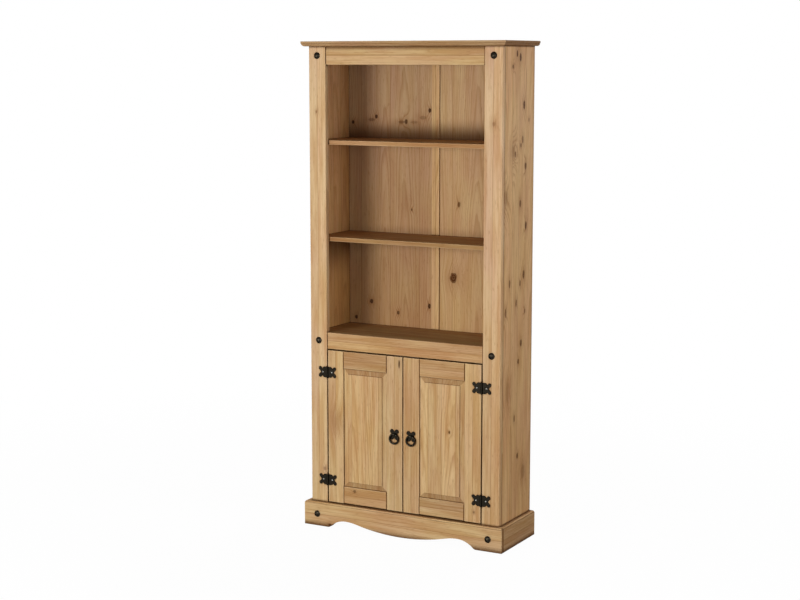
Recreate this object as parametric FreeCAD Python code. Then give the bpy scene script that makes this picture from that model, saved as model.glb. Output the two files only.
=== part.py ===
import FreeCAD, Part
import math
import os
from FreeCAD import Vector

# Display cupboard in waxed pine: three open bays over a two-door cupboard, on a scalloped plinth.
# Millimetres. Origin on the floor at the middle of the plan, +X right, +Y to the back, +Z up.

# Overall size
overall_width = 820.0
overall_depth = 290.0
overall_height = 1800.0

# Top board
top_thickness = 18.0
top_side_overhang = 20.0
top_front_overhang = 24.0
top_back_overhang = 3.0
top_moulding_radius = 10.0
top_arris = 1.5
moulding_step = 1.5

# Posts, sides and rails
post_width = 70.0
post_thickness = 18.0
post_arris = 4.0
side_thickness = 18.0
joint_arris = 1.6
rail_thickness = 15.0
rail_arris = 3.0
rail_end_arris = 2.5
top_rail_height = 66.0
middle_rail_height = 61.0

# Shelves
deck_level = 734.0
deck_thickness = 18.0
floor_thickness = 18.0
shelf_thickness = 16.0
shelf_setback = 2.0
shelf_arris = 2.0
housing_depth = 6.0

# Back
back_thickness = 6.0
back_rebate_width = 9.0
back_edge_clearance = 0.5
muntin_width = 30.0
muntin_stand = 5.0
muntin_tongue_width = 12.0

# Plinth
plinth_height = 90.0
plinth_thickness = 20.0
plinth_moulding_radius = 5.0
plinth_foot_width = 102.0
plinth_arch_run = 75.0
plinth_arch_rise = 30.0
plinth_lobe_clearance = 2.0
foot_curve_share = 0.15
lobe_curve_share = 0.8

# Doors
door_side_gap = 3.5
door_meeting_gap = 3.0
door_end_gap = 4.0
door_thickness = 18.0
door_arris = 3.0
stile_width = 66.0
door_rail_height = 64.0
groove_front_lip = 5.5
groove_width = 6.0
groove_depth = 10.0
panel_fit = 0.15
panel_expansion_gap = 2.0
panel_bevel_width = 20.0
panel_field_setback = 1.0
panel_step = 2.0

# Butterfly hinges
hinge_end_distance = 83.0
hinge_height = 40.0
hinge_reach = 37.0
hinge_leaf_thickness = 2.0
hinge_barrel_radius = 3.6
hinge_barrel_clearance = 0.2
hinge_pin_radius = 1.6
hinge_running_clearance = 0.05
hinge_knuckle_gap = 0.3
hinge_pin_head_radius = 2.8
hinge_pin_head_height = 1.6
hinge_body_reach = 21.0
hinge_body_corner = 9.0
hinge_lobe_radius = 6.5
hinge_arm_start = 18.5
hinge_arm_width = 12.5
hinge_edge_bevel = 0.6
hinge_screw_place = 19.0
hinge_screw_head_radius = 3.2
hinge_screw_head_height = 1.5
hinge_screw_radius = 1.5
hinge_screw_length = 14.0

# Ring handles
handle_level = 380.0
handle_plate_width = 36.0
handle_plate_height = 39.0
handle_plate_thickness = 2.0
handle_lobe_radius = 8.0
handle_arm_width = 15.0
handle_centre_radius = 11.0
handle_edge_bevel = 0.6
ring_outer_radius = 20.5
ring_wire_radius = 3.0
ring_bar_radius = 2.2
ring_bar_half_length = 8.0
ring_stand_off = 4.0
ring_running_clearance = 0.05
handle_boss_radius = 4.6
handle_boss_wall = 2.0
handle_boss_crown = 1.2
handle_bolt_radius = 2.5
handle_bolt_tip = 1.0
handle_nut_flats = 8.0
handle_nut_thickness = 4.0

# Domed corner studs
stud_head_radius = 12.5
stud_head_height = 6.0
stud_shank_radius = 2.5
stud_shank_length = 12.0

# Magnetic catches and their strikes
catch_width = 36.0
catch_depth = 15.0
catch_upper_height = 28.0
catch_lower_height = 30.0
catch_gap = 0.4
catch_rail_inset = 5.0
strike_width = 30.0
strike_height = 16.0
strike_thickness = 1.5
strike_top_inset = 6.0

# Dowels, screws and back pins
dowel_radius = 4.0
dowel_length = 40.0
dowel_post_depth = 10.0
dowel_top_depth = 12.0
dowel_rail_spacing = 30.0
top_dowel_end_distance = 45.0
top_dowels_per_side = 3
post_dowels_per_bay = 2
screw_head_radius = 4.0
screw_head_depth = 2.5
screw_radius = 2.0
screw_length = 28.0
plinth_screw_level = 30.0
plinth_screw_end_distance = 45.0
plinth_screws_per_side = 3
catch_screw_spacing = 20.0
pin_head_radius = 2.5
pin_head_height = 0.8
pin_radius = 0.8
pin_length = 20.0
pins_per_bay = 3

# Length by which cutting shapes run past what they cut, and tolerance for picking edges
overrun = 20.0
pick_tolerance = 0.01

# Planes and levels worked out from the sizes above
half_width = overall_width / 2
top_under = overall_height - top_thickness
front_y = -overall_depth / 2 + top_front_overhang
back_y = overall_depth / 2 - top_back_overhang
carcass_x = half_width - top_side_overhang
opening_x = carcass_x - post_width
post_back_y = front_y + post_thickness
side_inner_x = carcass_x - side_thickness
side_mid_x = carcass_x - side_thickness / 2
post_mid_x = carcass_x - post_width / 2
back_face_y = back_y - back_thickness
rail_front_y = post_back_y - rail_thickness
rail_mid_y = post_back_y - rail_thickness / 2
middle_rail_low = deck_level - middle_rail_height
floor_low = plinth_height - floor_thickness
deck_low = deck_level - deck_thickness
plinth_x = carcass_x + plinth_thickness
plinth_front_y = front_y - plinth_thickness

# The open shelves share the height above the deck evenly
shelf_names = ["lower_shelf", "upper_shelf"]
open_bays = len(shelf_names) + 1
bay_height = (top_under - deck_level - len(shelf_names) * shelf_thickness) / open_bays
shelf_lows = [deck_level + bay_height + row * (bay_height + shelf_thickness)
              for row in range(len(shelf_names))]

# Clear spaces between one board and the next, from the cupboard floor up to the top
bay_lows = [plinth_height, deck_level] + [low + shelf_thickness for low in shelf_lows]
bay_highs = [deck_low] + shelf_lows + [top_under]

# Door outline, for a door whose hinge edge is on the left
door_hinge_x = -opening_x + door_side_gap
door_meeting_x = -door_meeting_gap / 2
door_low = plinth_height + door_end_gap
door_high = middle_rail_low - door_end_gap
door_back_y = front_y + door_thickness
groove_front_y = front_y + groove_front_lip
groove_back_y = groove_front_y + groove_width

# Hinge axis stands in front of the middle of the gap beside the post
hinge_x = -opening_x + door_side_gap / 2
hinge_y = front_y - hinge_barrel_radius - hinge_barrel_clearance
leaf_front_y = front_y - hinge_leaf_thickness
hinge_levels = [door_low + hinge_end_distance, door_high - hinge_end_distance]
hinge_names = ["lower", "upper"]

# Handle axis stands in front of the middle of the meeting stile
handle_x = door_meeting_x - stile_width / 2
plate_front_y = front_y - handle_plate_thickness
ring_axis_y = plate_front_y - ring_stand_off
ring_radius = ring_outer_radius - ring_wire_radius
ring_drop = math.sqrt(ring_radius ** 2 - ring_bar_half_length ** 2)

X_AXIS = Vector(1, 0, 0)
Y_AXIS = Vector(0, 1, 0)
Z_AXIS = Vector(0, 0, 1)
nodes = {}


def block(x0, x1, y0, y1, z0, z1):
    """Box between two planes on each axis."""
    return Part.makeBox(x1 - x0, y1 - y0, z1 - z0, Vector(x0, y0, z0))


def rod(radius, start, direction, length):
    """Round bar from a point along a direction."""
    return Part.makeCylinder(radius, length, start, direction)


def other_side(shape):
    """The same shape on the other side of the middle plane."""
    return shape.mirror(Vector(0, 0, 0), X_AXIS)


def joined(shapes):
    """One solid from touching shapes, without the seams between them."""
    return shapes[0].multiFuse(shapes[1:]).removeSplitter()


def edges_on(shape, **planes):
    """Edges that lie wholly in each named plane, such as x=0 and z=top."""
    def spans(edge):
        box = edge.BoundBox
        return {"x": (box.XMin, box.XMax), "y": (box.YMin, box.YMax), "z": (box.ZMin, box.ZMax)}
    return [edge for edge in shape.Edges
            if all(abs(end - planes[axis]) < pick_tolerance for axis in planes for end in spans(edge)[axis])]


def eased(shape, radius, *plane_sets):
    """Shape with the edges in each set of planes rounded to a radius."""
    edges = [edge for planes in plane_sets for edge in edges_on(shape, **planes)]
    return shape.makeFillet(radius, edges)


def polygon_prism(points, y0, y1):
    """Prism across the depth from corners given as (x, z)."""
    corners = [Vector(x, y0, z) for x, z in points]
    face = Part.Face(Part.makePolygon(corners + corners[:1]))
    return face.extrude(Y_AXIS * (y1 - y0))


def strap(start, end, width, y0, y1):
    """Flat bar of a given width between two (x, z) points."""
    run_x = end[0] - start[0]
    run_z = end[1] - start[1]
    half_share = width / 2 / math.hypot(run_x, run_z)
    side_x = -run_z * half_share
    side_z = run_x * half_share
    corners = [(start[0] + side_x, start[1] + side_z), (end[0] + side_x, end[1] + side_z),
               (end[0] - side_x, end[1] - side_z), (start[0] - side_x, start[1] - side_z)]
    return polygon_prism(corners, y0, y1)


def disc(radius, x, z, y0, y1):
    """Round plate across the depth."""
    return rod(radius, Vector(x, y0, z), Y_AXIS, y1 - y0)


def level_arc(start, end, y):
    """Arc between (x, z) points that leaves its start level."""
    run = end[0] - start[0]
    rise = end[1] - start[1]
    half_turn = math.atan2(abs(rise), abs(run))
    radius = (run ** 2 + rise ** 2) / (2 * abs(rise))
    middle_x = start[0] + math.copysign(radius * math.sin(half_turn), run)
    middle_z = start[1] + math.copysign(radius * (1 - math.cos(half_turn)), rise)
    return Part.Arc(Vector(start[0], y, start[1]), Vector(middle_x, y, middle_z), Vector(end[0], y, end[1]))


def reverse_curve(start, end, share, y):
    """Two arcs, level at both ends, that meet at a share of the way along."""
    meet = (start[0] + share * (end[0] - start[0]), start[1] + share * (end[1] - start[1]))
    return [level_arc(start, meet, y), level_arc(end, meet, y)]


def moulded_bar(place, along, inward, plain_z, moulded_z, radius, depth):
    """Bar with an ovolo on one long edge.

    place is where the bar starts on its outer face, along runs its length, inward points into the
    piece. The ovolo lies at moulded_z, behind a small step, and depth is the bar's inward size.
    """
    up = math.copysign(1, moulded_z - plain_z)
    lip_z = moulded_z - up * radius

    def point(inset, z):
        return place + inward * inset + Z_AXIS * (z - place.z)

    middle_share = 1 - math.sqrt(0.5)
    curve = Part.Arc(point(moulding_step, lip_z),
                     point(moulding_step + radius * middle_share, moulded_z - up * radius * middle_share),
                     point(moulding_step + radius, moulded_z)).toShape()
    line = Part.makePolygon([point(moulding_step + radius, moulded_z), point(depth, moulded_z),
                             point(depth, plain_z), point(0, plain_z), point(0, lip_z),
                             point(moulding_step, lip_z)])
    return Part.Face(Part.Wire([curve] + line.Edges)).extrude(along)


def turned(points, arc_middle=None):
    """Solid turned about Z from (radius, z) corners; arc_middle rounds the last stretch."""
    corners = [Vector(radius, 0, z) for radius, z in points]
    if arc_middle is None:
        outline = Part.makePolygon(corners + corners[:1]).Edges
    else:
        crown = Part.Arc(corners[-1], Vector(arc_middle[0], 0, arc_middle[1]), corners[0])
        outline = [crown.toShape()] + Part.makePolygon(corners).Edges
    return Part.Face(Part.Wire(outline)).revolve(Vector(0, 0, 0), Z_AXIS, 360)


def dome_middle(radius, rise, top_z):
    """Point (radius, z) half way along a round dome's outline."""
    sphere_radius = (radius ** 2 + rise ** 2) / (2 * rise)
    half_turn = math.asin(radius / sphere_radius) / 2
    return sphere_radius * math.sin(half_turn), top_z - sphere_radius * (1 - math.cos(half_turn))


def domed_pin(head_radius, head_height, shank_radius, shank_length):
    """Pin with a domed head above Z = 0 and its shank below."""
    corners = [(0, head_height), (0, -shank_length), (shank_radius, -shank_length), (shank_radius, 0),
               (head_radius, 0)]
    return turned(corners, dome_middle(head_radius, head_height, head_height))


def flush_screw():
    """Countersunk screw whose head is level with Z = 0 and whose shank runs down."""
    return turned([(0, 0), (0, -screw_length), (screw_radius, -screw_length),
                   (screw_radius, -screw_head_depth), (screw_head_radius, 0)])


def aimed(shape, outward, place):
    """Shape made along +Z, turned so that its head looks outward and set at a place."""
    placed = shape.copy()
    placed.Placement = FreeCAD.Placement(place, FreeCAD.Rotation(Z_AXIS, outward))
    return placed


def spread(low, high, count):
    """Places evenly spread between two ends, both ends included."""
    return [low + (high - low) * step / (count - 1) for step in range(count)]


def bored(shape, fasteners):
    """Shape with the holes that its fasteners fill."""
    return shape.cut(Part.makeCompound(fasteners))


def make_dowels():
    """Dowels of the frame: rails to posts, posts to sides, sides to top. Left and right lists."""
    left = []
    rail_middles = [top_under - top_rail_height / 2, middle_rail_low + middle_rail_height / 2]
    for middle in rail_middles:
        for level in (middle - dowel_rail_spacing / 2, middle + dowel_rail_spacing / 2):
            left.append(rod(dowel_radius, Vector(-opening_x - dowel_length / 2, rail_mid_y, level),
                            X_AXIS, dowel_length))
    for low, high in zip(bay_lows, bay_highs):
        for level in spread(low, high, post_dowels_per_bay + 2)[1:-1]:
            left.append(rod(dowel_radius, Vector(-side_mid_x, post_back_y - dowel_post_depth, level),
                            Y_AXIS, dowel_length))
    for place in spread(post_back_y + top_dowel_end_distance, back_y - top_dowel_end_distance,
                        top_dowels_per_side):
        left.append(rod(dowel_radius, Vector(-side_mid_x, place, top_under + dowel_top_depth - dowel_length),
                        Z_AXIS, dowel_length))
    return left, [other_side(dowel) for dowel in left]


def make_studs():
    """Domed studs: one pair on the top rail's line, one on the deck's, one on the plinth."""
    stud = domed_pin(stud_head_radius, stud_head_height, stud_shank_radius, stud_shank_length)
    places = [(front_y, top_under - top_rail_height / 2), (front_y, deck_level - middle_rail_height / 2),
              (plinth_front_y, plinth_height / 2)]
    left = [aimed(stud, -Y_AXIS, Vector(-post_mid_x, y, z)) for y, z in places]
    return left, [other_side(item) for item in left]


def make_plinth_screws():
    """Screws from inside: posts into the plinth front, sides into the plinth sides."""
    screw = flush_screw()
    front_place = Vector(-(opening_x + side_inner_x) / 2, post_back_y, plinth_screw_level)
    left = [aimed(screw, Y_AXIS, front_place)]
    for place in spread(post_back_y + plinth_screw_end_distance, back_y - plinth_screw_end_distance,
                        plinth_screws_per_side):
        left.append(aimed(screw, X_AXIS, Vector(-side_inner_x, place, plinth_screw_level)))
    return left, [other_side(item) for item in left]


def make_back_pins():
    """Pins down the outer edge of each back panel, clear of the shelves' ends."""
    pin = domed_pin(pin_head_radius, pin_head_height, pin_radius, pin_length)
    pin_x = side_inner_x + back_rebate_width / 2
    left = []
    for low, high in zip(bay_lows, bay_highs):
        for level in spread(low, high, pins_per_bay + 2)[1:-1]:
            left.append(aimed(pin, Y_AXIS, Vector(-pin_x, back_y, level)))
    return left, [other_side(item) for item in left]


def make_catch_screws():
    """Screws that hold the left catch to the back of the middle rail."""
    level = middle_rail_low + catch_rail_inset + catch_upper_height / 2
    place_y = post_back_y + catch_depth
    return [aimed(flush_screw(), Y_AXIS, Vector(handle_x + side * catch_screw_spacing / 2, place_y, level))
            for side in (-1, 1)]


def make_top(dowels):
    """Top board with an ovolo under its front and end edges."""
    rear_y = overall_depth / 2
    corner = Vector(-half_width - overrun, -overall_depth / 2, 0)
    ovolo = (overall_height, top_under, top_moulding_radius)
    board = moulded_bar(corner, X_AXIS * (overall_width + 2 * overrun), Y_AXIS, *ovolo, overall_depth)
    for side in (-1, 1):
        end = Vector(side * half_width, -overall_depth / 2 - overrun, 0)
        board = board.common(moulded_bar(end, Y_AXIS * (overall_depth + 2 * overrun), X_AXIS * -side, *ovolo,
                                         overall_width + overrun))
    board = eased(board, top_arris, {"y": -overall_depth / 2, "z": overall_height},
                  {"x": -half_width, "z": overall_height}, {"x": half_width, "z": overall_height},
                  {"y": rear_y, "z": overall_height})
    nodes["top_panel"] = bored(board, dowels)


def make_posts(left_fasteners, right_fasteners):
    """Front posts, wide boards that cover the front edges of the sides."""
    post = block(-carcass_x, -opening_x, front_y, post_back_y, 0, top_under)
    post = eased(post, post_arris, {"x": -carcass_x, "y": front_y}, {"x": -opening_x, "y": front_y})
    post = eased(post, joint_arris, {"x": -carcass_x, "y": post_back_y})
    nodes["left_post"] = bored(post, left_fasteners)
    nodes["right_post"] = bored(other_side(post), right_fasteners)


def make_sides(left_fasteners, right_fasteners):
    """Side panels, housed for every shelf and rebated for the back."""
    side = block(-carcass_x, -side_inner_x, post_back_y, back_y, 0, top_under)
    side = eased(side, joint_arris, {"x": -carcass_x, "y": post_back_y})
    housed_x = side_inner_x + housing_depth
    boards = [(floor_low, plinth_height), (deck_low, deck_level)]
    boards += [(low, low + shelf_thickness) for low in shelf_lows]
    for low, high in boards:
        side = side.cut(block(-housed_x, -side_inner_x + overrun, post_back_y - overrun, back_face_y,
                              low, high))
    rebate_x = side_inner_x + back_rebate_width
    side = side.cut(block(-rebate_x, -side_inner_x + overrun, back_face_y, back_y + overrun, floor_low,
                          top_under + overrun))
    nodes["left_side"] = bored(side, left_fasteners)
    nodes["right_side"] = bored(other_side(side), right_fasteners)


def make_rails(fasteners):
    """Rails between the posts, set back a little from their faces."""
    for name, low, height in (("top_rail", top_under - top_rail_height, top_rail_height),
                              ("middle_rail", middle_rail_low, middle_rail_height)):
        rail = block(-opening_x, opening_x, rail_front_y, post_back_y, low, low + height)
        rail = eased(rail, rail_arris, {"y": rail_front_y, "z": low})
        rail = eased(rail, rail_end_arris, {"x": -opening_x, "y": rail_front_y},
                     {"x": opening_x, "y": rail_front_y})
        nodes[name] = bored(rail, fasteners)


def make_shelves():
    """Cupboard floor, deck and open shelves, all housed in the sides and cut round the muntin."""
    end_x = side_inner_x + housing_depth
    muntin_cut = block(-muntin_width / 2, muntin_width / 2, back_face_y - muntin_stand, back_y, 0, top_under)
    floor = block(-end_x, end_x, post_back_y, back_face_y, floor_low, plinth_height)
    tongue = block(-opening_x, opening_x, front_y, post_back_y, floor_low, plinth_height)
    nodes["cupboard_floor"] = joined([floor, tongue]).cut(muntin_cut)
    nodes["deck"] = block(-end_x, end_x, post_back_y, back_face_y, deck_low, deck_level).cut(muntin_cut)
    shelf_front_y = post_back_y + shelf_setback
    for name, low in zip(shelf_names, shelf_lows):
        high = low + shelf_thickness
        shelf = block(-end_x, end_x, shelf_front_y, back_face_y, low, high)
        shelf = eased(shelf, shelf_arris, {"y": shelf_front_y, "z": low}, {"y": shelf_front_y, "z": high})
        nodes[name] = shelf.cut(muntin_cut)


def make_back(left_pins, right_pins):
    """Two back panels lapped behind a middle muntin that stands proud inside."""
    panel_outer_x = side_inner_x + back_rebate_width - back_edge_clearance
    panel_inner_x = muntin_tongue_width / 2 + back_edge_clearance
    panel = block(-panel_outer_x, -panel_inner_x, back_face_y, back_y, floor_low, top_under)
    nodes["left_back_panel"] = bored(panel, left_pins)
    nodes["right_back_panel"] = bored(other_side(panel), right_pins)
    face = block(-muntin_width / 2, muntin_width / 2, back_face_y - muntin_stand, back_face_y,
                 floor_low, top_under)
    tongue = block(-muntin_tongue_width / 2, muntin_tongue_width / 2, back_face_y, back_y,
                   floor_low, top_under)
    nodes["back_muntin"] = joined([face, tongue])


def scallop_cut():
    """Space under the plinth front: an arch beside each foot and a drop between them."""
    foot_x = plinth_x - plinth_foot_width
    apex_x = foot_x - plinth_arch_run
    start_y = plinth_front_y - overrun
    drop = (0, plinth_lobe_clearance)
    edges = []
    for side in (-1, 1):
        apex = (side * apex_x, plinth_arch_rise)
        foot = (side * foot_x, 0)
        edges += [arc.toShape() for arc in reverse_curve(drop, apex, lobe_curve_share, start_y)]
        edges += [arc.toShape() for arc in reverse_curve(foot, apex, foot_curve_share, start_y)]
    below = [Vector(-foot_x, start_y, 0), Vector(-foot_x, start_y, -overrun),
             Vector(foot_x, start_y, -overrun), Vector(foot_x, start_y, 0)]
    outline = Part.Wire(Part.sortEdges(edges + Part.makePolygon(below).Edges)[0])
    return Part.Face(outline).extrude(Y_AXIS * (plinth_thickness + 2 * overrun))


def make_plinth(left_fasteners, right_fasteners):
    """Plinth boards: the front runs across the ends of the two sides, all with an ovolo on top."""
    ovolo = (0, plinth_height, plinth_moulding_radius)
    corner = Vector(-plinth_x - overrun, plinth_front_y, 0)
    front = moulded_bar(corner, X_AXIS * 2 * (plinth_x + overrun), Y_AXIS, *ovolo, plinth_thickness)
    for side in (-1, 1):
        end = Vector(side * plinth_x, plinth_front_y - overrun, 0)
        front = front.common(moulded_bar(end, Y_AXIS * (plinth_thickness + 2 * overrun), X_AXIS * -side,
                                         *ovolo, 2 * plinth_x + overrun))
    front = front.cut(scallop_cut())
    nodes["plinth_front"] = bored(front, left_fasteners + right_fasteners)
    start = Vector(-plinth_x, front_y, 0)
    side_board = moulded_bar(start, Y_AXIS * (back_y - front_y), X_AXIS, *ovolo, plinth_thickness)
    nodes["plinth_left"] = bored(side_board, left_fasteners)
    nodes["plinth_right"] = bored(other_side(side_board), right_fasteners)


def make_stile(outer_x, inner_x):
    """Door stile, grooved along its inner edge."""
    low_x, high_x = sorted((outer_x, inner_x))
    stile = block(low_x, high_x, front_y, door_back_y, door_low, door_high)
    stile = eased(stile, door_arris, {"x": outer_x, "y": front_y}, {"x": inner_x, "y": front_y})
    inward = math.copysign(1, inner_x - outer_x)
    groove_x = sorted((inner_x - inward * groove_depth, inner_x + inward * overrun))
    return stile.cut(block(*groove_x, groove_front_y, groove_back_y, door_low - overrun, door_high + overrun))


def make_door_rail(left_x, right_x, low, sight_z):
    """Door rail with a stub tenon in each stile's groove and a groove along its inner edge."""
    body = block(left_x, right_x, front_y, door_back_y, low, low + door_rail_height)
    body = eased(body, door_arris, {"y": front_y, "z": low}, {"y": front_y, "z": low + door_rail_height},
                 {"x": left_x, "y": front_y}, {"x": right_x, "y": front_y})
    tenon = block(left_x - groove_depth, right_x + groove_depth, groove_front_y, groove_back_y, low,
                  low + door_rail_height)
    inward = 1 if sight_z > low else -1
    groove_z = sorted((sight_z - inward * groove_depth, sight_z + inward * overrun))
    groove = block(left_x - groove_depth, right_x + groove_depth, groove_front_y, groove_back_y, *groove_z)
    return joined([body, tenon]).cut(groove)


def rectangle(x0, x1, z0, z1, y):
    """Upright rectangular wire."""
    corners = [Vector(x0, y, z0), Vector(x1, y, z0), Vector(x1, y, z1), Vector(x0, y, z1)]
    return Part.makePolygon(corners + corners[:1])


def make_door_panel(left_x, right_x, low, high):
    """Raised and fielded panel: a tongue in the grooves, a wide bevel and a stepped-up field."""
    tongue_front_y = groove_front_y + panel_fit
    tongue_back_y = groove_back_y - panel_fit
    reach = groove_depth - panel_expansion_gap
    tongue = block(left_x - reach, right_x + reach, tongue_front_y, tongue_back_y, low - reach, high + reach)
    field_y = front_y + panel_field_setback
    bevel_y = field_y + panel_step
    bevel = panel_bevel_width
    slope = Part.makeLoft([rectangle(left_x, right_x, low, high, tongue_front_y),
                           rectangle(left_x + bevel, right_x - bevel, low + bevel, high - bevel, bevel_y)],
                          True, True)
    field = block(left_x + bevel, right_x - bevel, field_y, bevel_y, low + bevel, high - bevel)
    return joined([tongue, slope, field])


def make_doors(left_fasteners):
    """Framed doors: stiles the full height, rails between them and a raised panel."""
    sight_left_x = door_hinge_x + stile_width
    sight_right_x = door_meeting_x - stile_width
    sight_low = door_low + door_rail_height
    sight_high = door_high - door_rail_height
    pieces = {
        "hinge_stile": make_stile(door_hinge_x, sight_left_x),
        "meeting_stile": make_stile(door_meeting_x, sight_right_x),
        "top_rail": make_door_rail(sight_left_x, sight_right_x, sight_high, sight_high),
        "bottom_rail": make_door_rail(sight_left_x, sight_right_x, door_low, sight_low),
        "panel": make_door_panel(sight_left_x, sight_right_x, sight_low, sight_high),
    }
    for name, piece in pieces.items():
        bored_piece = bored(piece, left_fasteners)
        nodes["left_door_" + name] = bored_piece
        nodes["right_door_" + name] = other_side(bored_piece)


def leaf_outline(side, level):
    """Butterfly leaf on one side of the hinge axis: a rounded body and two lobed arms, bevelled in front."""
    half_height = hinge_height / 2
    y0, y1 = leaf_front_y, front_y
    body_end = hinge_x + side * hinge_body_reach
    body = block(*sorted((hinge_x, body_end)), y0, y1, level - half_height, level + half_height)
    body = eased(body, hinge_body_corner, {"x": body_end, "z": level - half_height},
                 {"x": body_end, "z": level + half_height})
    shapes = [body]
    lobe_x = hinge_x + side * (hinge_reach - hinge_lobe_radius)
    for end in (-1, 1):
        lobe_z = level + end * (half_height - hinge_lobe_radius)
        shapes.append(disc(hinge_lobe_radius, lobe_x, lobe_z, y0, y1))
        arm_start = (hinge_x + side * hinge_arm_start, level)
        shapes.append(strap(arm_start, (lobe_x, lobe_z), hinge_arm_width, y0, y1))
    leaf = joined(shapes)
    outline = [edge for edge in edges_on(leaf, y=leaf_front_y)
               if abs(edge.CenterOfMass.x - hinge_x) > pick_tolerance]
    return leaf.makeChamfer(hinge_edge_bevel, outline)


def make_hinge_leaf(side, level, own_spans, other_spans, hole_radius):
    """Leaf with its knuckles rolled round the pin and room left for the other leaf's knuckles."""
    leaf = leaf_outline(side, level)
    axis_gap = hinge_knuckle_gap / 2
    leaf = leaf.cut(block(hinge_x - axis_gap, hinge_x + axis_gap, leaf_front_y, front_y,
                          level - hinge_height, level + hinge_height))
    for low, high in other_spans:
        room = rod(hinge_barrel_radius + hinge_knuckle_gap, Vector(hinge_x, hinge_y, low - hinge_knuckle_gap),
                   Z_AXIS, high - low + 2 * hinge_knuckle_gap)
        leaf = leaf.cut(room)
    for low, high in own_spans:
        barrel = rod(hinge_barrel_radius, Vector(hinge_x, hinge_y, low), Z_AXIS, high - low)
        leaf = leaf.fuse(barrel)
    bore = rod(hole_radius, Vector(hinge_x, hinge_y, level - hinge_height), Z_AXIS, 2 * hinge_height)
    return leaf.removeSplitter().cut(bore)


def make_hinge_pin(level):
    """Pin with a small domed head at each end of the barrel."""
    half_height = hinge_height / 2
    head = domed_pin(hinge_pin_head_radius, hinge_pin_head_height, hinge_pin_radius, half_height)
    top = aimed(head, Z_AXIS, Vector(hinge_x, hinge_y, level + half_height))
    bottom = aimed(head, -Z_AXIS, Vector(hinge_x, hinge_y, level - half_height))
    return joined([top, bottom])


def make_hinge_screws(side):
    """Round-headed screws of the leaves on one side of the left door's hinges."""
    screw = domed_pin(hinge_screw_head_radius, hinge_screw_head_height, hinge_screw_radius,
                      hinge_screw_length)
    return [aimed(screw, -Y_AXIS, Vector(hinge_x + side * hinge_screw_place, leaf_front_y, level))
            for level in hinge_levels]


def make_hinges(post_screws, door_screws):
    """Butterfly hinges: post leaf with the outer knuckles, door leaf with the middle one, and a pin."""
    middle_knuckle = hinge_height / 3
    for name, level in zip(hinge_names, hinge_levels):
        inner_low = level - middle_knuckle / 2
        inner_high = level + middle_knuckle / 2
        outer_spans = [(level - hinge_height / 2, inner_low - hinge_knuckle_gap),
                       (inner_high + hinge_knuckle_gap, level + hinge_height / 2)]
        inner_span = [(inner_low, inner_high)]
        post_leaf = make_hinge_leaf(-1, level, outer_spans, inner_span, hinge_pin_radius)
        running_radius = hinge_pin_radius + hinge_running_clearance
        door_leaf = make_hinge_leaf(1, level, inner_span, outer_spans, running_radius)
        pieces = {"post_leaf": bored(post_leaf, post_screws), "door_leaf": bored(door_leaf, door_screws),
                  "pin": make_hinge_pin(level)}
        for piece_name, piece in pieces.items():
            nodes["left_" + name + "_hinge_" + piece_name] = piece
            nodes["right_" + name + "_hinge_" + piece_name] = other_side(piece)


def make_handle_bolt():
    """Bolt whose domed boss carries the ring and whose shank runs through the stile."""
    boss_depth = ring_stand_off + ring_bar_radius + handle_boss_wall
    crown_top = boss_depth + handle_boss_crown
    tip = door_back_y + handle_nut_thickness + handle_bolt_tip - plate_front_y
    bolt = turned([(0, crown_top), (0, -tip), (handle_bolt_radius, -tip), (handle_bolt_radius, 0),
                   (handle_boss_radius, 0), (handle_boss_radius, boss_depth)],
                  dome_middle(handle_boss_radius, handle_boss_crown, crown_top))
    bolt = aimed(bolt, -Y_AXIS, Vector(handle_x, plate_front_y, handle_level))
    bore_start = Vector(handle_x - overrun, ring_axis_y, handle_level)
    return bolt.cut(rod(ring_bar_radius + ring_running_clearance, bore_start, X_AXIS, 2 * overrun))


def make_handle_plate(bolt):
    """Backplate with four lobes about a round middle, bevelled in front."""
    y0, y1 = plate_front_y, front_y
    shapes = [disc(handle_centre_radius, handle_x, handle_level, y0, y1)]
    for side in (-1, 1):
        for end in (-1, 1):
            lobe_x = handle_x + side * (handle_plate_width / 2 - handle_lobe_radius)
            lobe_z = handle_level + end * (handle_plate_height / 2 - handle_lobe_radius)
            shapes.append(disc(handle_lobe_radius, lobe_x, lobe_z, y0, y1))
            shapes.append(strap((handle_x, handle_level), (lobe_x, lobe_z), handle_arm_width, y0, y1))
    plate = joined(shapes)
    plate = plate.makeChamfer(handle_edge_bevel, edges_on(plate, y=plate_front_y))
    return bored(plate, [bolt])


def make_handle_ring():
    """Hanging ring, drawn straight at the top where it turns in the boss."""
    centre = Vector(handle_x, ring_axis_y, handle_level - ring_drop)
    start_angle = math.degrees(math.atan2(ring_drop, ring_bar_half_length))
    ends = [Vector(handle_x + side * ring_bar_half_length, ring_axis_y, handle_level) for side in (-1, 1)]
    tangent = X_AXIS * ring_drop - Z_AXIS * ring_bar_half_length
    section = Part.Wire(Part.makeCircle(ring_wire_radius, ends[1], tangent))
    hoop = Part.Face(section).revolve(centre, Y_AXIS, 180 + 2 * start_angle)
    bar = rod(ring_bar_radius, ends[0], X_AXIS, 2 * ring_bar_half_length)
    corners = [Part.makeSphere(ring_wire_radius, end) for end in ends]
    return joined([hoop, bar] + corners)


def make_handle_nut(bolt):
    """Hexagon nut on the inside of the stile."""
    corner_radius = handle_nut_flats / math.sqrt(3)
    corners = [(handle_x + corner_radius * math.cos(step * math.pi / 3),
                handle_level + corner_radius * math.sin(step * math.pi / 3)) for step in range(6)]
    nut = polygon_prism(corners, door_back_y, door_back_y + handle_nut_thickness)
    return bored(nut, [bolt])


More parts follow.
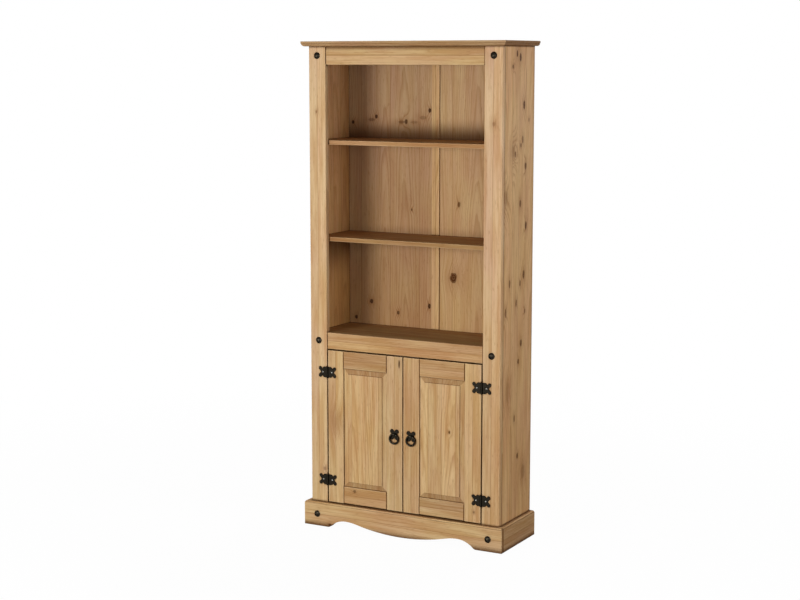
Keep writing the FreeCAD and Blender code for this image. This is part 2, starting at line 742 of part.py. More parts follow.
def make_handles(bolt):
    """Ring handles on the meeting stiles."""
    pieces = {"plate": make_handle_plate(bolt), "ring": make_handle_ring(), "bolt": bolt,
              "nut": make_handle_nut(bolt)}
    for name, piece in pieces.items():
        nodes["left_handle_" + name] = piece
        nodes["right_handle_" + name] = other_side(piece)


def make_catches(left_screws):
    """Magnetic catches on the back of the middle rail, and steel strikes on the doors."""
    low_x, high_x = handle_x - catch_width / 2, handle_x + catch_width / 2
    rear_y = post_back_y + catch_depth
    split_z = middle_rail_low + catch_rail_inset
    upper = block(low_x, high_x, post_back_y, rear_y, split_z, split_z + catch_upper_height)
    lower = block(low_x, high_x, door_back_y + strike_thickness + catch_gap, rear_y,
                  split_z - catch_lower_height, split_z)
    catch = bored(joined([upper, lower]), left_screws)
    strike_high = door_high - strike_top_inset
    strike = block(handle_x - strike_width / 2, handle_x + strike_width / 2, door_back_y,
                   door_back_y + strike_thickness, strike_high - strike_height, strike_high)
    for name, piece in (("magnetic_catch", catch), ("strike", strike)):
        nodes["left_" + name] = piece
        nodes["right_" + name] = other_side(piece)


def main():
    left_dowels, right_dowels = make_dowels()
    left_studs, right_studs = make_studs()
    left_plinth_screws, right_plinth_screws = make_plinth_screws()
    left_pins, right_pins = make_back_pins()
    left_catch_screws = make_catch_screws()
    right_catch_screws = [other_side(screw) for screw in left_catch_screws]
    post_screws = make_hinge_screws(-1)
    right_post_screws = [other_side(screw) for screw in post_screws]
    door_screws = make_hinge_screws(1)
    bolt = make_handle_bolt()

    make_top(left_dowels + right_dowels)
    make_posts(left_dowels + left_studs + left_plinth_screws + post_screws,
               right_dowels + right_studs + right_plinth_screws + right_post_screws)
    make_sides(left_dowels + left_plinth_screws + left_pins, right_dowels + right_plinth_screws + right_pins)
    make_rails(left_dowels + right_dowels + left_catch_screws + right_catch_screws)
    make_shelves()
    make_back(left_pins, right_pins)
    make_plinth(left_studs + left_plinth_screws, right_studs + right_plinth_screws)
    make_doors(door_screws + [bolt])
    make_hinges(post_screws, door_screws)
    make_handles(bolt)
    make_catches(left_catch_screws)

    nodes["frame_dowels"] = Part.makeCompound(left_dowels + right_dowels)
    nodes["corner_studs"] = Part.makeCompound(left_studs + right_studs)
    nodes["plinth_screws"] = Part.makeCompound(left_plinth_screws + right_plinth_screws)
    nodes["back_pins"] = Part.makeCompound(left_pins + right_pins)
    nodes["catch_screws"] = Part.makeCompound(left_catch_screws + right_catch_screws)
    nodes["post_hinge_screws"] = Part.makeCompound(post_screws + right_post_screws)
    nodes["left_door_hinge_screws"] = Part.makeCompound(door_screws)
    nodes["right_door_hinge_screws"] = Part.makeCompound([other_side(screw) for screw in door_screws])

    os.makedirs("parts", exist_ok=True)
    for name, shape in nodes.items():
        shape.exportStep("parts/" + name + ".step")
        print(name, len(shape.Solids), round(shape.Volume), shape.isValid())


main()
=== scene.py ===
"""Finishes, studio and camera of a waxed-pine display cupboard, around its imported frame, in metres."""

import math

import bpy
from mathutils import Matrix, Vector


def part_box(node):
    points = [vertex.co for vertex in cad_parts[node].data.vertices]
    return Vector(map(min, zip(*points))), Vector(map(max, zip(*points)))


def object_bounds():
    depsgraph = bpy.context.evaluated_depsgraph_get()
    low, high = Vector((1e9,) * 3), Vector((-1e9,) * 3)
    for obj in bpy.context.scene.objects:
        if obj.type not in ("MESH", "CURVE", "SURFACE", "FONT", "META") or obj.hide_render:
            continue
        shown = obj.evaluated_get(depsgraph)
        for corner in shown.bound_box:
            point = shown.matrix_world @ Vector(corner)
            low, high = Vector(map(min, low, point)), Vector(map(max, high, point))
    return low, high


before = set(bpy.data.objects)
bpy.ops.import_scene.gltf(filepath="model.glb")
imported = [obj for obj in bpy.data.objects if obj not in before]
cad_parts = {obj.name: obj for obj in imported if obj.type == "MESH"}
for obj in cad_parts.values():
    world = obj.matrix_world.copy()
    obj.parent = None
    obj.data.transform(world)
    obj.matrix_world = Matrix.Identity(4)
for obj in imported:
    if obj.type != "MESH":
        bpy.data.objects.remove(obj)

cad_low, cad_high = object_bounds()
cad_middle = (cad_low + cad_high) / 2


def opaque(tone):
    """A tone of three parts as a colour socket takes it."""
    return (*tone, 1.0)


def srgb(red, green, blue):
    """A screen colour from 0 to 255 as the linear colour that a shader socket takes."""
    def linear(level):
        share = level / 255
        return share / 12.92 if share <= 0.04045 else ((share + 0.055) / 1.055) ** 2.4
    return opaque((linear(red), linear(green), linear(blue)))


# Camera
eye = Vector((2.8277, -5.2921, 1.7303))
camera_yaw_degrees = 28.767
camera_pitch_degrees = 8.222
camera_lens_mm = 74.5

# Studio: soft square lamps at their places, with their powers in watts
lamp_size = 1.4
lamps = {
    "key": ((-1.2, -4.0, 1.2), 98.0),
    "left": ((-3.4, -2.2, 0.9), 26.0),
    "fill": ((2.4, -3.5, 1.35), 34.0),
    "right": ((3.9, -0.2, 2.2), 45.0),
    "back": ((0.6, 4.5, 1.6), 60.0),
    "top": ((0.0, 1.6, 4.2), 40.0)}
ambient_strength = 0.36
overhead_share = 0.2
overhead_height_shares = (0.1, 0.75)
floor_span = 30.0
floor_bounce = srgb(115, 115, 115)
floor_roughness = 0.9
floor_glow_share = 0.97
floor_fade_start = 0.9
floor_fade_end = 3.2
white = opaque((1.0, 1.0, 1.0))

# Pine colours
early_wood = srgb(214, 181, 139)
honey_wood = srgb(193, 151, 105)
late_wood = srgb(158, 110, 62)
fleck_wood = srgb(150, 106, 62)
end_wood = srgb(128, 88, 50)
# This colour is wear on the arrises and also paints light highlights along them
worn_wood_and_highlight = srgb(226, 194, 148)
# This colour also paints shade into corners and beside shelves
grime_and_shade = srgb(70, 35, 5)
knot_halo = srgb(128, 76, 38)
sound_knot = srgb(74, 36, 6)
dead_knot = srgb(46, 23, 9)
pink_tone = opaque((1.02, 0.98, 0.95))
olive_tone = opaque((0.98, 1.01, 0.91))

# Noise detail in octaves, and the strength of each octave as a share of the one before
season_detail = 1.0
plain_detail = 2.0
fine_detail = 3.0
metal_detail = 4.0
plain_octave_share = 0.5
fibre_octave_share = 0.6

# Pine grain, in waves per metre across and along the fibres
broad_streaks = (44.0, 3.4)
fine_streaks = (160.0, 11.0)
flecks = (240.0, 40.0)
blotches = (11.0, 4.0)
fibres = (1100.0, 16.0)
ripples = (60.0, 6.0)
wanderings = (3.0, 1.7)

# Pine growth
ring_spacing = 0.0058
pith_spread = 0.11
pith_nearest = 0.022
pith_range = 0.075
trunk_taper_share = 0.035
wander_reach = 0.024
streak_wander = 0.02
knot_swirl = 0.006

# Growth rings: shifts counted in rings, and the late wood between shares of a ring
ripple_rings = 0.8
season_rings = 2.4
season_waves_per_ring = 0.31
late_rise_shares = (0.35, 0.9)
late_fall_shares = (0.92, 1.0)
year_change_share = 0.7

# Staves: their widths, and how far apart in the wood they are taken from
glued_stave = 0.056
back_stave = 0.125
whole_board = 4.0
stave_seed_step = 7.31
stave_shift_across = 3.0
stave_shift_along = 9.0

# How much each feature shows in the colour, and the noise levels between which it comes in
streak_level_shares = (0.3, 0.7)
fleck_level_shares = (0.55, 0.78)
blotch_level_shares = (0.32, 0.68)
fine_streak_share = 0.45
halo_figure_share = 0.4
fleck_share = 0.36
seam_share = 0.6
stave_change_share = 0.13
fibre_change_share = 0.2
blotch_change_share = 0.3
wear_and_highlight_share = 0.35
end_grain_share = 0.82
halo_share = 0.3
grime_and_shade_share = 0.92

# Pine surface
pine_roughness = 0.46
fibre_roughness_share = 0.18
late_polish_share = 0.06
grime_roughness_share = 0.2
late_height_share = 0.5
fibre_height_share = 0.6
knot_sink_share = 0.4
fibre_height = 0.0004
pine_bump_share = 0.35
pine_specular_share = 0.02
end_facing_shares = (0.05, 0.2)

# Wear with painted arris highlights, joint dirt, and wax with painted shade in corners and beside shelves
wear_and_highlight_width = 0.004
joint_width = 0.007
joint_dirt_share = 0.6
glue_line_width = 0.0018
corner_samples = 6
open_corner_shares = (0.55, 1.0)
corner_reach = 0.006
# Reach of the wax and painted shade in corners; the longer ones paint wider shade lines along rails,
# posts and plinth
corner_reaches = {
    "top_rail": 0.018, "left_post": 0.009, "right_post": 0.009,
    "plinth_front": 0.024, "plinth_right": 0.02,
    "left_door_panel": 0.003, "right_door_panel": 0.003,
    "left_side": 0.002, "left_back_panel": 0.002, "right_back_panel": 0.002}
upper_shelf_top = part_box("upper_shelf")[1].z
lower_shelf_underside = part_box("lower_shelf")[0].z
# Painted shade beside shelves: its reach up from the upper shelf's top, down from the lower shelf's
# underside, and its strength
shade_rise = 0.085
shade_fall = 0.16
shelf_shade_share = 0.85
inner_facing_share = 0.5
shelf_shades = {
    "left_back_panel": (upper_shelf_top, shade_rise),
    "back_muntin": (upper_shelf_top, shade_rise),
    "right_back_panel": (upper_shelf_top, shade_rise),
    "left_side": (lower_shelf_underside, -shade_fall)}

# Knots: their radii, and their form in shares of a radius
pin_knot = 0.0036
small_knot = 0.0060
medium_knot = 0.0078
large_knot = 0.0145
wobble_waves_per_radius = 1.6
wobble_share = 0.7
knot_rim_shares = (0.85, 1.1)
knot_ring_radians_per_radius = 14.0
knot_ring_share = 0.14
halo_fall = 0.2
bend_fall = 0.12
bend_share = 1.6
flat_knot_power = 3.0

# Knots of each board: shares of its length and width, radius, stretch along the grain and share of core.
# A stretch under one makes a smear across the grain.
knot_shares = {
    "right_side": [
        (0.985, 0.40, small_knot, 2.0, 1.0), (0.978, 0.51, medium_knot, 2.0, 1.0),
        (0.960, 0.26, small_knot, 1.3, 0.8), (0.885, 0.65, medium_knot, 2.2, 1.0),
        (0.855, 0.82, pin_knot, 2.0, 0.6), (0.817, 0.61, small_knot, 2.4, 0.7),
        (0.806, 0.55, small_knot, 1.4, 0.7), (0.795, 0.29, large_knot, 1.8, 0.2),
        (0.789, 0.36, small_knot, 2.0, 0.7), (0.764, 0.72, medium_knot, 1.8, 0.9),
        (0.691, 0.55, medium_knot, 1.8, 0.8), (0.645, 0.75, medium_knot, 2.0, 1.0),
        (0.706, 0.06, large_knot, 2.0, 0.25), (0.547, 0.69, medium_knot, 2.0, 0.9),
        (0.535, 0.21, small_knot, 2.4, 0.8), (0.531, 0.57, small_knot, 1.8, 0.7),
        (0.472, 0.74, small_knot, 1.4, 0.6), (0.493, 0.44, small_knot, 2.2, 0.7),
        (0.479, 0.08, medium_knot, 2.0, 0.6), (0.409, 0.62, medium_knot, 1.6, 0.9),
        (0.373, 0.53, small_knot, 1.6, 1.0), (0.319, 0.17, large_knot, 2.4, 0.15),
        (0.259, 0.41, small_knot, 2.0, 0.6), (0.179, 0.53, small_knot, 1.8, 1.0),
        (0.141, 0.73, large_knot, 1.8, 0.3)],
    "left_back_panel": [
        (0.849, 0.34, small_knot, 1.4, 1.0), (0.839, 0.68, small_knot, 1.7, 0.9),
        (0.836, 0.07, small_knot, 1.2, 1.0), (0.864, 0.945, small_knot, 1.5, 1.0),
        (0.439, 0.28, medium_knot, 1.1, 0.9), (0.418, 0.59, small_knot, 1.2, 0.8),
        (0.401, 0.10, small_knot, 1.2, 1.0), (0.438, 0.945, small_knot, 1.6, 1.0),
        (0.648, 0.745, pin_knot, 1.4, 0.7), (0.842, 0.285, large_knot, 0.4, 0.45),
        (0.838, 0.63, large_knot, 0.4, 0.45), (0.838, 0.77, large_knot, 0.35, 0.25),
        (0.848, 0.87, large_knot, 0.5, 0.3)],
    "right_back_panel": [(0.504, 0.18, large_knot, 1.3, 1.0), (0.664, 0.237, small_knot, 1.8, 0.8)],
    "left_door_meeting_stile": [(0.955, 0.80, pin_knot, 4.5, 0.9)],
    "left_door_bottom_rail": [(0.28, 0.80, small_knot, 1.0, 0.6)],
    "left_door_hinge_stile": [(0.54, 0.5, large_knot, 1.6, 0.0)],
    "left_post": [(0.122, 0.83, small_knot, 1.2, 0.35), (0.868, 0.45, pin_knot, 1.5, 0.4)],
    "right_door_panel": [(0.567, 0.655, pin_knot, 1.5, 0.8)],
    "right_door_hinge_stile": [(0.065, 0.59, pin_knot, 1.2, 0.5)],
    "right_post": [(0.850, 0.54, small_knot, 1.4, 0.25)],
    "plinth_front": [(0.135, 0.09, small_knot, 1.1, 0.85)],
}

# Boards that butt against others, boards with sound knots, and boards glued up from staves
butted_boards = ("left_side", "right_side")
sound_boards = ("left_side", "right_side", "left_post", "right_post", "right_back_panel")
glued_boards = (
    "left_side", "right_side", "top_panel", "deck", "lower_shelf", "upper_shelf", "cupboard_floor",
    "left_door_panel", "right_door_panel")

# Tones of the finishes, and of boards whose timber differs, partly painted light and shade where the
# lamps light a board more or less; towards the head and the rear the change is painted light and shade
finish_tones = {
    "waxed_pine": (1.0, 1.0, 1.0), "back_pine": (0.97, 0.95, 0.92), "dowel_beech": (1.02, 0.94, 0.86)}
# Deck, shelves, top and plinth side are darkened and the inner left side lightened here as painted shade
# and light
board_tones_and_shades = {
    "left_post": (1.0, 1.03, 1.08), "right_post": (1.02, 1.0, 1.02),
    "left_side": (1.2, 1.13, 0.8), "right_side": (1.11, 1.03, 1.0),
    "top_panel": (0.69, 0.65, 0.65), "middle_rail": (0.88, 0.82, 0.78),
    "deck": (0.66, 0.62, 0.54), "lower_shelf": (0.64, 0.55, 0.47), "upper_shelf": (0.75, 0.65, 0.58),
    "plinth_right": (0.80, 0.74, 0.71),
    "left_back_panel": (0.70, 0.61, 0.51), "right_back_panel": (0.90, 0.86, 0.76),
    "left_door_top_rail": (0.77, 0.74, 0.71), "right_door_top_rail": (0.83, 0.76, 0.73),
    "left_door_bottom_rail": (0.86, 0.79, 0.75), "right_door_bottom_rail": (0.90, 0.91, 0.93),
    "left_door_meeting_stile": (0.95, 1.0, 1.07), "right_door_meeting_stile": (0.90, 0.87, 0.85)}
# Painted light and shade that changes from foot to head
head_lights_and_shades = {
    "left_post": (1.03, 1.05, 1.2), "right_post": (1.12, 1.12, 1.34),
    "left_side": (1.44, 1.42, 1.5), "right_side": (1.16, 1.12, 1.14),
    "left_back_panel": (0.77, 0.745, 0.83), "right_back_panel": (0.91, 0.92, 1.0)}
# Painted shade that deepens towards the rear of the inner left side
rear_shades = {"left_side": (0.64, 0.57, 0.45)}

# Staves, figure and streaks of the finishes and of single boards, and the seeds of their grain
finish_staves = {"waxed_pine": whole_board, "back_pine": back_stave, "dowel_beech": whole_board}
finish_figure_shares = {"waxed_pine": 0.4, "back_pine": 0.45, "dowel_beech": 0.2}
figure_shares = {"right_side": 0.5, "left_side": 0.4, "left_door_panel": 0.5, "right_door_panel": 0.5}
finish_streak_shares = {"waxed_pine": 0.9, "back_pine": 0.45, "dowel_beech": 0.5}
streak_shares = {"right_side": 0.6, "left_side": 0.5}
first_seed = 1.3
seed_step = 3.7

# Iron, steel and plastic, with their marks in waves per metre
iron_dark = srgb(30, 27, 21)
iron_light = srgb(54, 49, 41)
iron_edge = srgb(90, 86, 80)
iron_dents = 210.0
iron_speckles = 900.0
iron_level_shares = (0.35, 0.75)
iron_roughness = 0.12
speckle_roughness_share = 0.16
speckle_height_share = 0.15
iron_bump_share = 0.5
iron_dent_depth = 0.0003
screw_bright = srgb(136, 134, 128)
screw_shade = srgb(104, 102, 98)
screw_roughness = 0.36
zinc_bright = srgb(140, 141, 142)
zinc_shade = srgb(116, 118, 120)
zinc_roughness = 0.46
steel_marks = 1400.0
steel_level_shares = (0.35, 0.7)
steel_roughness_share = 0.14
steel_bump_share = 0.2
plastic_dark = srgb(86, 56, 34)
plastic_light = srgb(112, 76, 48)
plastic_sparks = 2200.0
plastic_roughness = 0.42
plastic_roughness_share = 0.2
plastic_bump_share = 0.25
fine_mark_depth = 0.0001


class Shader:
    """Short calls that add and link the nodes of one node tree."""

    def __init__(self, tree):
        self.tree = tree

    def add(self, kind, **settings):
        node = self.tree.nodes.new("ShaderNode" + kind)
        for name, value in settings.items():
            setattr(node, name, value)
        return node

    def feed(self, socket, value):
        """Links a socket to a value's socket, or sets it to a constant."""
        if isinstance(value, bpy.types.NodeSocket):
            self.tree.links.new(value, socket)
        else:
            socket.default_value = value

    def group(self, tree, values):
        """The outputs of a node group that takes the named values."""
        node = self.add("Group", node_tree=tree)
        for name, value in values.items():
            self.feed(node.inputs[name], value)
        return node.outputs

    def math(self, operation, *values):
        node = self.add("Math", operation=operation)
        for socket, value in zip(node.inputs, values):
            self.feed(socket, value)
        return node.outputs["Value"]

    def plus(self, first, second):
        return self.math("ADD", first, second)

    def less(self, first, second):
        return self.math("SUBTRACT", first, second)

    def times(self, first, second):
        return self.math("MULTIPLY", first, second)

    def over(self, first, second):
        return self.math("DIVIDE", first, second)

    def most(self, first, second):
        return self.math("MAXIMUM", first, second)

    def least(self, first, second):
        return self.math("MINIMUM", first, second)

    def size(self, value):
        return self.math("ABSOLUTE", value)

    def square(self, value):
        return self.math("POWER", value, 2.0)

    def distance(self, first, second):
        return self.math("SQRT", self.plus(self.square(first), self.square(second)))

    def scaled(self, value, factor, base):
        """A value times a factor, added to a base."""
        return self.math("MULTIPLY_ADD", value, factor, base)

    def swing(self, chance, share, base):
        """A base moved up or down by up to half a share, as a chance from 0 to 1 says."""
        return self.scaled(self.less(chance, 0.5), share, base)

    def flip(self, share):
        """What a share leaves of one."""
        return self.less(1.0, share)

    def point(self, *values):
        node = self.add("CombineXYZ")
        for socket, value in zip(node.inputs, values):
            self.feed(socket, value)
        return node.outputs["Vector"]

    def parts(self, vector):
        node = self.add("SeparateXYZ")
        self.feed(node.inputs["Vector"], vector)
        return [node.outputs[axis] for axis in "XYZ"]

    def smooth(self, value, start, end):
        """A share that rises gently from 0 to 1 while a value goes from start to end."""
        node = self.add("MapRange", interpolation_type="SMOOTHSTEP")
        self.feed(node.inputs["Value"], value)
        self.feed(node.inputs["From Min"], start)
        self.feed(node.inputs["From Max"], end)
        return node.outputs["Result"]

    def noise(self, vector, scale=1.0, detail=plain_detail, octave_share=plain_octave_share):
        node = self.add("TexNoise")
        self.feed(node.inputs["Vector"], vector)
        self.feed(node.inputs["Scale"], scale)
        self.feed(node.inputs["Detail"], detail)
        self.feed(node.inputs["Roughness"], octave_share)
        return node.outputs[0]

    def chances(self, seed):
        """Three chances from 0 to 1 that belong to a seed."""
        node = self.add("TexWhiteNoise", noise_dimensions="1D")
        self.feed(node.inputs["W"], seed)
        return self.parts(node.outputs["Color"])

    def mix(self, share, first, second, blend_type="MIX"):
        node = self.add("Mix", data_type="RGBA", blend_type=blend_type)
        sockets = {socket.identifier: socket for socket in node.inputs}
        self.feed(sockets["Factor_Float"], share)
        self.feed(sockets["A_Color"], first)
        self.feed(sockets["B_Color"], second)
        return next(socket for socket in node.outputs if socket.identifier == "Result_Color")

    def tint(self, colour, tone):
        return self.mix(1.0, colour, tone, "MULTIPLY")

    def bump(self, height, strength, distance):
        node = self.add("Bump")
        self.feed(node.inputs["Height"], height)
        self.feed(node.inputs["Strength"], strength)
        self.feed(node.inputs["Distance"], distance)
        return node.outputs["Normal"]


def new_group(name, floats, colours, made_floats, made_colours):
    """An empty shader group with the named float and colour sockets, and its two end nodes."""
    group = bpy.data.node_groups.new(name, "ShaderNodeTree")
    for direction, kind, sockets in (
            ("INPUT", "NodeSocketFloat", floats), ("INPUT", "NodeSocketColor", colours),
            ("OUTPUT", "NodeSocketFloat", made_floats), ("OUTPUT", "NodeSocketColor", made_colours)):
        for socket in sockets:
            group.interface.new_socket(name=socket, in_out=direction, socket_type=kind)
    return group, group.nodes.new("NodeGroupInput").outputs, group.nodes.new("NodeGroupOutput").inputs


def new_material(name):
    """A material with one principled shader, its builder and that shader's sockets."""
    material = bpy.data.materials.new(name)
    material.use_nodes = True
    return material, Shader(material.node_tree), material.node_tree.nodes["Principled BSDF"].inputs


def make_knot_group():
    """One knot: it adds to the dark core, the stained halo and the bend of the growth rings."""
    sums = ("Dark", "Halo", "Bend")
    sizes = ("Across", "Along", "Knot Across", "Knot Along", "Radius", "Stretch", "Core")
    group, given, made = new_group("knot", sizes + sums, (), sums, ())
    do = Shader(group)
    across = do.over(do.less(given["Across"], given["Knot Across"]), given["Radius"])
    along = do.over(do.less(given["Along"], given["Knot Along"]), given["Stretch"])
    along = do.over(along, given["Radius"])
    wobble = do.noise(do.point(across, along, given["Knot Along"]), scale=wobble_waves_per_radius)
    reach = do.swing(wobble, wobble_share, do.distance(across, along))

    # The core is darker and lighter in rings.
    core = do.flip(do.smooth(reach, *knot_rim_shares))
    ring = do.math("SINE", do.times(reach, knot_ring_radians_per_radius))
    dark = do.times(core, do.scaled(ring, knot_ring_share, 1.0 - knot_ring_share))
    dark = do.times(dark, given["Core"])
    halo = do.math("EXPONENT", do.times(do.square(reach), -halo_fall))

    # A smear bends the growth rings less than a round knot.
    bend = do.math("EXPONENT", do.times(do.square(reach), -bend_fall))
    bend = do.times(bend, do.over(given["Radius"], ring_spacing))
    bend = do.times(bend, do.math("POWER", do.least(given["Stretch"], 1.0), flat_knot_power))
    do.feed(made["Dark"], do.most(given["Dark"], dark))
    do.feed(made["Halo"], do.most(given["Halo"], halo))
    do.feed(made["Bend"], do.scaled(bend, bend_share, given["Bend"]))
    return group


class Grain:
    """The stave at a place of a board, with noise that is stretched along its fibres."""

    def __init__(self, do, given):
        self.do = do
        self.given = given
        stave = do.math("FLOOR", do.over(given["Across"], given["Stave"]))
        stave_middle = do.times(do.plus(stave, 0.5), given["Stave"])
        self.within = do.less(given["Across"], stave_middle)
        self.seed = do.scaled(stave, stave_seed_step, given["Seed"])
        self.first_chance, self.second_chance, third_chance = do.chances(self.seed)
        self.along = do.scaled(third_chance, stave_shift_along, given["Along"])
        self.across = do.scaled(self.first_chance, stave_shift_across, self.within)

        # The fibres wander, and flow round the knots.
        self.wander = self.noise(wanderings)
        self.across = do.scaled(self.wander, streak_wander, self.across)
        self.across = do.scaled(given["Bend"], knot_swirl, self.across)

    def noise(self, waves, detail=plain_detail, octave_share=plain_octave_share):
        across_waves, along_waves = waves
        across = self.do.times(self.across, across_waves)
        through = self.do.times(self.given["Through"], across_waves)
        along = self.do.times(self.along, along_waves)
        place = self.do.point(across, through, along)
        return self.do.noise(place, detail=detail, octave_share=octave_share)


def grow_late_wood(do, given, grain):
    """The share of late wood at a place of a board.

    The trunk's middle wanders and tapers past the board, so the rings come out as arches and streaks.
    """
    sideways = do.scaled(grain.first_chance, pith_spread, -pith_spread / 2)
    sideways = do.less(grain.within, sideways)
    sideways = do.scaled(grain.wander, wander_reach, sideways)
    deep = do.scaled(grain.second_chance, pith_range, pith_nearest)
    deep = do.plus(deep, given["Through"])
    deep = do.scaled(given["Along"], trunk_taper_share, deep)
    deep = do.scaled(grain.wander, -wander_reach, deep)
    rings = do.over(do.distance(sideways, deep), ring_spacing)
    rings = do.plus(rings, given["Bend"])
    rings = do.scaled(grain.noise(ripples, fine_detail), ripple_rings, rings)

    # Some years are wider and some are darker than others.
    year_place = do.point(do.times(rings, season_waves_per_ring), grain.seed, 0.0)
    rings = do.scaled(do.noise(year_place, detail=season_detail), season_rings, rings)
    fraction = do.math("FRACT", rings)
    late = do.less(do.smooth(fraction, *late_rise_shares), do.smooth(fraction, *late_fall_shares))
    year_chance = do.chances(do.plus(do.math("FLOOR", rings), grain.seed))[0]
    return do.times(late, do.scaled(year_chance, year_change_share, 1.0 - year_change_share))


def colour_clean_wood(do, given, grain, late, fuzz):
    """The colour of clean wood: streaks, late wood, flecks, glue seams, blotches and fibres."""
    streaks = grain.noise(broad_streaks, fine_detail)
    streaks = do.swing(grain.noise(fine_streaks, fine_detail), fine_streak_share, streaks)
    streaks = do.swing(do.smooth(streaks, *streak_level_shares), given["Streak"], 0.5)
    colour = do.mix(streaks, early_wood, honey_wood)
    figure = do.scaled(given["Halo"], halo_figure_share, given["Figure"])
    colour = do.mix(do.times(late, figure), colour, late_wood)
    dashes = do.smooth(grain.noise(flecks), *fleck_level_shares)
    colour = do.mix(do.times(dashes, fleck_share), colour, fleck_wood)
    to_seam = do.less(do.times(given["Stave"], 0.5), do.size(grain.within))
    seam = do.flip(do.smooth(to_seam, 0.0, glue_line_width))
    colour = do.mix(do.times(seam, seam_share), colour, fleck_wood)
    blotch = grain.noise(blotches)
    colour = do.tint(colour, do.mix(do.smooth(blotch, *blotch_level_shares), pink_tone, olive_tone))
    lift = do.swing(grain.second_chance, stave_change_share, 1.0)
    lift = do.swing(fuzz, fibre_change_share, lift)
    lift = do.swing(blotch, blotch_change_share, lift)
    colour = do.tint(colour, do.point(lift, lift, lift))
    return do.tint(colour, given["Tone"])


def make_pine_group():
    """Pine: colour, roughness and height from the place across, through and along a board."""
    floats = (
        "Across", "Through", "Along", "Seed", "Stave", "Figure", "Streak", "Dark", "Halo", "Bend",
        "Wear And Highlight", "End", "Dirt And Shade")
    group, given, made = new_group("pine", floats, ("Tone", "Knot"), ("Roughness", "Height"), ("Color",))
    do = Shader(group)
    grain = Grain(do, given)
    late = grow_late_wood(do, given, grain)
    fuzz = grain.noise(fibres, fine_detail, fibre_octave_share)
    colour = colour_clean_wood(do, given, grain, late, fuzz)

    # Wear with painted highlights on the arrises, end grain and knots, then wax and dirt with painted
    # shade in the corners and beside shelves.
    colour = do.mix(do.times(given["Wear And Highlight"], wear_and_highlight_share), colour, worn_wood_and_highlight)
    colour = do.mix(do.times(given["End"], end_grain_share), colour, end_wood)
    colour = do.mix(do.times(given["Halo"], halo_share), colour, knot_halo)
    colour = do.mix(given["Dark"], colour, given["Knot"])
    do.feed(made["Color"], do.mix(do.times(given["Dirt And Shade"], grime_and_shade_share), colour, grime_and_shade))

    roughness = do.scaled(fuzz, fibre_roughness_share, pine_roughness)
    roughness = do.scaled(late, -late_polish_share, roughness)
    do.feed(made["Roughness"], do.scaled(given["Dirt And Shade"], grime_roughness_share, roughness))
    height = do.scaled(late, late_height_share, do.times(fuzz, fibre_height_share))
    do.feed(made["Height"], do.scaled(given["Dark"], -knot_sink_share, height))
    return group


class Board:
    """A board's box, and sockets for a place and a direction through, across and along its fibres."""

    def __init__(self, do, name):
        self.name = name
        low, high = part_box(name)
        centre = (low + high) / 2
        self.half = (high - low) / 2
        through_axis, across_axis, along_axis = sorted(range(3), key=lambda axis: self.half[axis])
        self.half_across = self.half[across_axis]
        self.half_along = self.half[along_axis]
        self.middle_along = centre[along_axis]
        self.inwards = math.copysign(1.0, cad_middle[through_axis] - centre[through_axis])

        coordinates = do.add("TexCoord").outputs
        centred = do.add("VectorMath", operation="SUBTRACT")
        do.feed(centred.inputs[0], coordinates["Object"])
        do.feed(centred.inputs[1], centre)
        self.place = do.parts(centred.outputs["Vector"])
        self.through = self.place[through_axis]
        self.across = self.place[across_axis]
        self.along = self.place[along_axis]
        facing = do.parts(coordinates["Normal"])
        self.facing_through = facing[through_axis]
        self.facing_along = facing[along_axis]


def near_arris(do, board, width):
    """Strong at the arrises of a board's box, where the second nearest of its faces is close."""
    one, two, three = [do.less(board.half[axis], do.size(board.place[axis])) for axis in range(3)]
    second = do.most(do.least(one, two), do.least(do.most(one, two), three))
    return do.flip(do.smooth(second, 0.0, width))


def corner_dirt_and_shade(do, reach):
    """Wax and dirt with painted shade: strong where other surfaces stand close around a point."""
    # Ambient occlusion paints shade into the colour here, as well as wax in the corners
    around = do.add("AmbientOcclusion", samples=corner_samples)
    do.feed(around.inputs["Distance"], reach)
    return do.flip(do.smooth(around.outputs["AO"], *open_corner_shares))


def shelf_shade(do, board, level, reach):
    """Painted shade on a board's inner face: strong at the level of a shelf's face, gone at a reach from
    it.
    """
    away = do.over(do.less(board.along, level - board.middle_along), reach)
    # Painted shade, fading with distance from the shelf
    painted_shade = do.times(do.flip(do.smooth(away, 0.0, 1.0)), do.math("GREATER_THAN", away, 0.0))
    facing_in = do.math("GREATER_THAN", do.times(board.facing_through, board.inwards), inner_facing_share)
    return do.times(do.times(painted_shade, facing_in), shelf_shade_share)


def board_dirt_and_shade(do, board):
    """All dirt and painted shade of a board: wax and painted shade in corners, dirt at joints with other
    boards and painted shade beside shelves.
    """
    dirt_and_shade = corner_dirt_and_shade(do, corner_reaches.get(board.name, corner_reach))
    if board.name in butted_boards:
        joint = near_arris(do, board, joint_width)
        dirt_and_shade = do.most(dirt_and_shade, do.times(joint, joint_dirt_share))
    if board.name in shelf_shades:
        level, reach = shelf_shades[board.name]
        dirt_and_shade = do.most(dirt_and_shade, shelf_shade(do, board, level, reach))
    return dirt_and_shade


def board_tone_and_shade(do, board, finish):
    """The tone of a board with painted light and shade, which may change towards its head and its rear.
    """
    tone = opaque(board_tones_and_shades.get(board.name, finish_tones[finish]))
    # Painted light and shade from the board's foot to its head
    if board.name in head_lights_and_shades:
        to_head = do.smooth(board.along, -board.half_along, board.half_along)
        tone = do.mix(to_head, tone, opaque(head_lights_and_shades[board.name]))
    # Painted shade towards the board's rear
    if board.name in rear_shades:
        to_rear = do.smooth(board.across, 0.0, board.half_across)
        tone = do.tint(tone, do.mix(to_rear, white, opaque(rear_shades[board.name])))
    return tone


